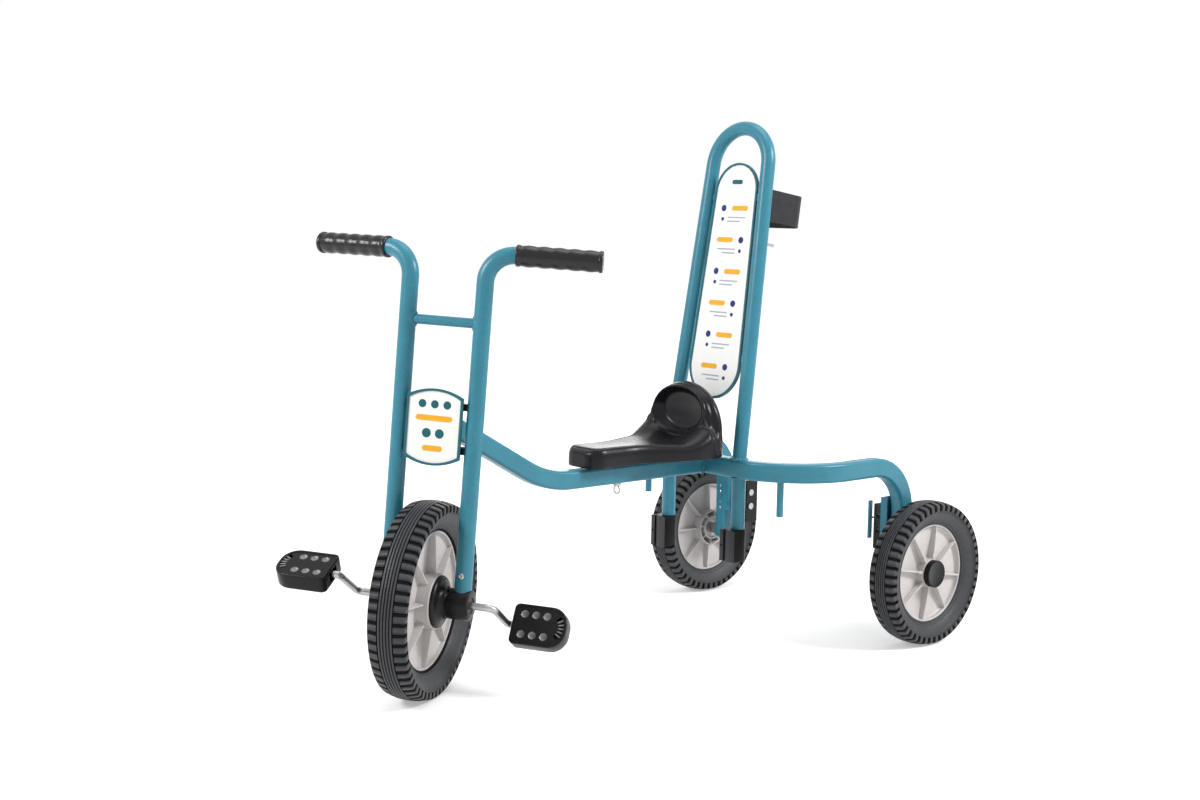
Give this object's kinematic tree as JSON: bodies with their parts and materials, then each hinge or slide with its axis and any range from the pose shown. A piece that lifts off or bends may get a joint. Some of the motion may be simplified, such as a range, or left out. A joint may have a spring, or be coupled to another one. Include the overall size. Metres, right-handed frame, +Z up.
{
  "type": "child's pedal tricycle with hoop backrest",
  "caption": "Child's direct-drive pedal tricycle with a moulded saddle, a tall hoop backrest with a panel, and a cranked rear frame.",
  "frame": {"origin": "on the ground under the middle of the whole vehicle as it stands", "axes": "+X towards the rider's left, -Y forward, +Z up"},
  "size_m": [0.6224, 1.2522, 0.9462],
  "materials": {
    "frame_paint": "satin powder coat",
    "white_board": "satin",
    "tyre_rubber": "matt",
    "rim_grey": "satin moulded",
    "black_plastic": "satin moulded",
    "saddle_black": "semi-gloss moulded",
    "grip_rubber": "matt",
    "webbing": "woven",
    "bright_steel": "bright plated",
    "plain_steel": "zinc plated"
  },
  "bodies": {
    "frame": {"main_beam": "frame_paint", "head_tube": "frame_paint", "axle_beam": "frame_paint", "hoop": "frame_paint", "panel_board": "white_board", "panel_rim": "frame_paint", "panel_lugs": "frame_paint", "pole_band": "webbing", "hoop_pins": "bright_steel", "saddle": "saddle_black", "seat_pin": "bright_steel", "rear_axle_left": "plain_steel", "wheel_bracket_left": "frame_paint", "bracket_strip_left": "black_plastic", "bracket_strap_left": "frame_paint", "bracket_pins_left": "bright_steel", "dock_tube_left": "frame_paint", "dock_block_left": "black_plastic", "beam_peg_left": "frame_paint", "rear_axle_right": "plain_steel", "wheel_bracket_right": "frame_paint", "bracket_strip_right": "black_plastic", "bracket_strap_right": "frame_paint", "bracket_pins_right": "bright_steel", "dock_tube_right": "frame_paint", "dock_block_right": "black_plastic", "beam_peg_right": "frame_paint"},
    "steering": {"fork_crossbar": "frame_paint", "bridge_upper": "black_plastic", "bridge_lower": "black_plastic", "head_pin": "plain_steel", "badge_plate": "white_board", "badge_rim": "frame_paint", "fork_tube_left": "frame_paint", "grip_left": "grip_rubber", "axle_housing_left": "black_plastic", "fork_tube_right": "frame_paint", "grip_right": "grip_rubber", "axle_housing_right": "black_plastic"},
    "front_wheel": {"front_tyre": "tyre_rubber", "front_rim": "rim_grey", "front_hub": "black_plastic", "crank_axle": "bright_steel"},
    "pedal_left": {"pedal_left": "black_plastic"},
    "pedal_right": {"pedal_right": "black_plastic"},
    "rear_wheel_left": {"rear_tyre_left": "tyre_rubber", "rear_rim_left": "rim_grey", "rear_cap_left": "black_plastic"},
    "rear_wheel_right": {"rear_tyre_right": "tyre_rubber", "rear_rim_right": "rim_grey", "rear_cap_right": "black_plastic"}
  },
  "joints": [
    {"name": "steer", "type": "hinge", "parent": "frame", "child": "steering", "pos_m": [0, -0.43017, 0.15994], "axis": [0, 0.0797, 0.9968], "range_deg": [-81.5, 18.5]},
    {"name": "front_wheel_spin", "type": "hinge", "parent": "steering", "child": "front_wheel", "pos_m": [0, -0.43017, 0.15994], "axis": [0.8526, 0.5208, -0.0416], "continuous": true},
    {"name": "pedal_spin_left", "type": "hinge", "parent": "front_wheel", "child": "pedal_left", "pos_m": [0.10887, -0.27935, 0.11138], "axis": [0.8526, 0.5208, -0.0416], "continuous": true},
    {"name": "pedal_spin_right", "type": "hinge", "parent": "front_wheel", "child": "pedal_right", "pos_m": [-0.10887, -0.58099, 0.2085], "axis": [0.8526, 0.5208, -0.0416], "continuous": true},
    {"name": "rear_wheel_spin_left", "type": "hinge", "parent": "frame", "child": "rear_wheel_left", "pos_m": [0.2834, 0.49383, 0.1323], "axis": [1, 0, 0], "continuous": true},
    {"name": "rear_wheel_spin_right", "type": "hinge", "parent": "frame", "child": "rear_wheel_right", "pos_m": [-0.2834, 0.49383, 0.1323], "axis": [1, 0, 0], "continuous": true}
  ]
}
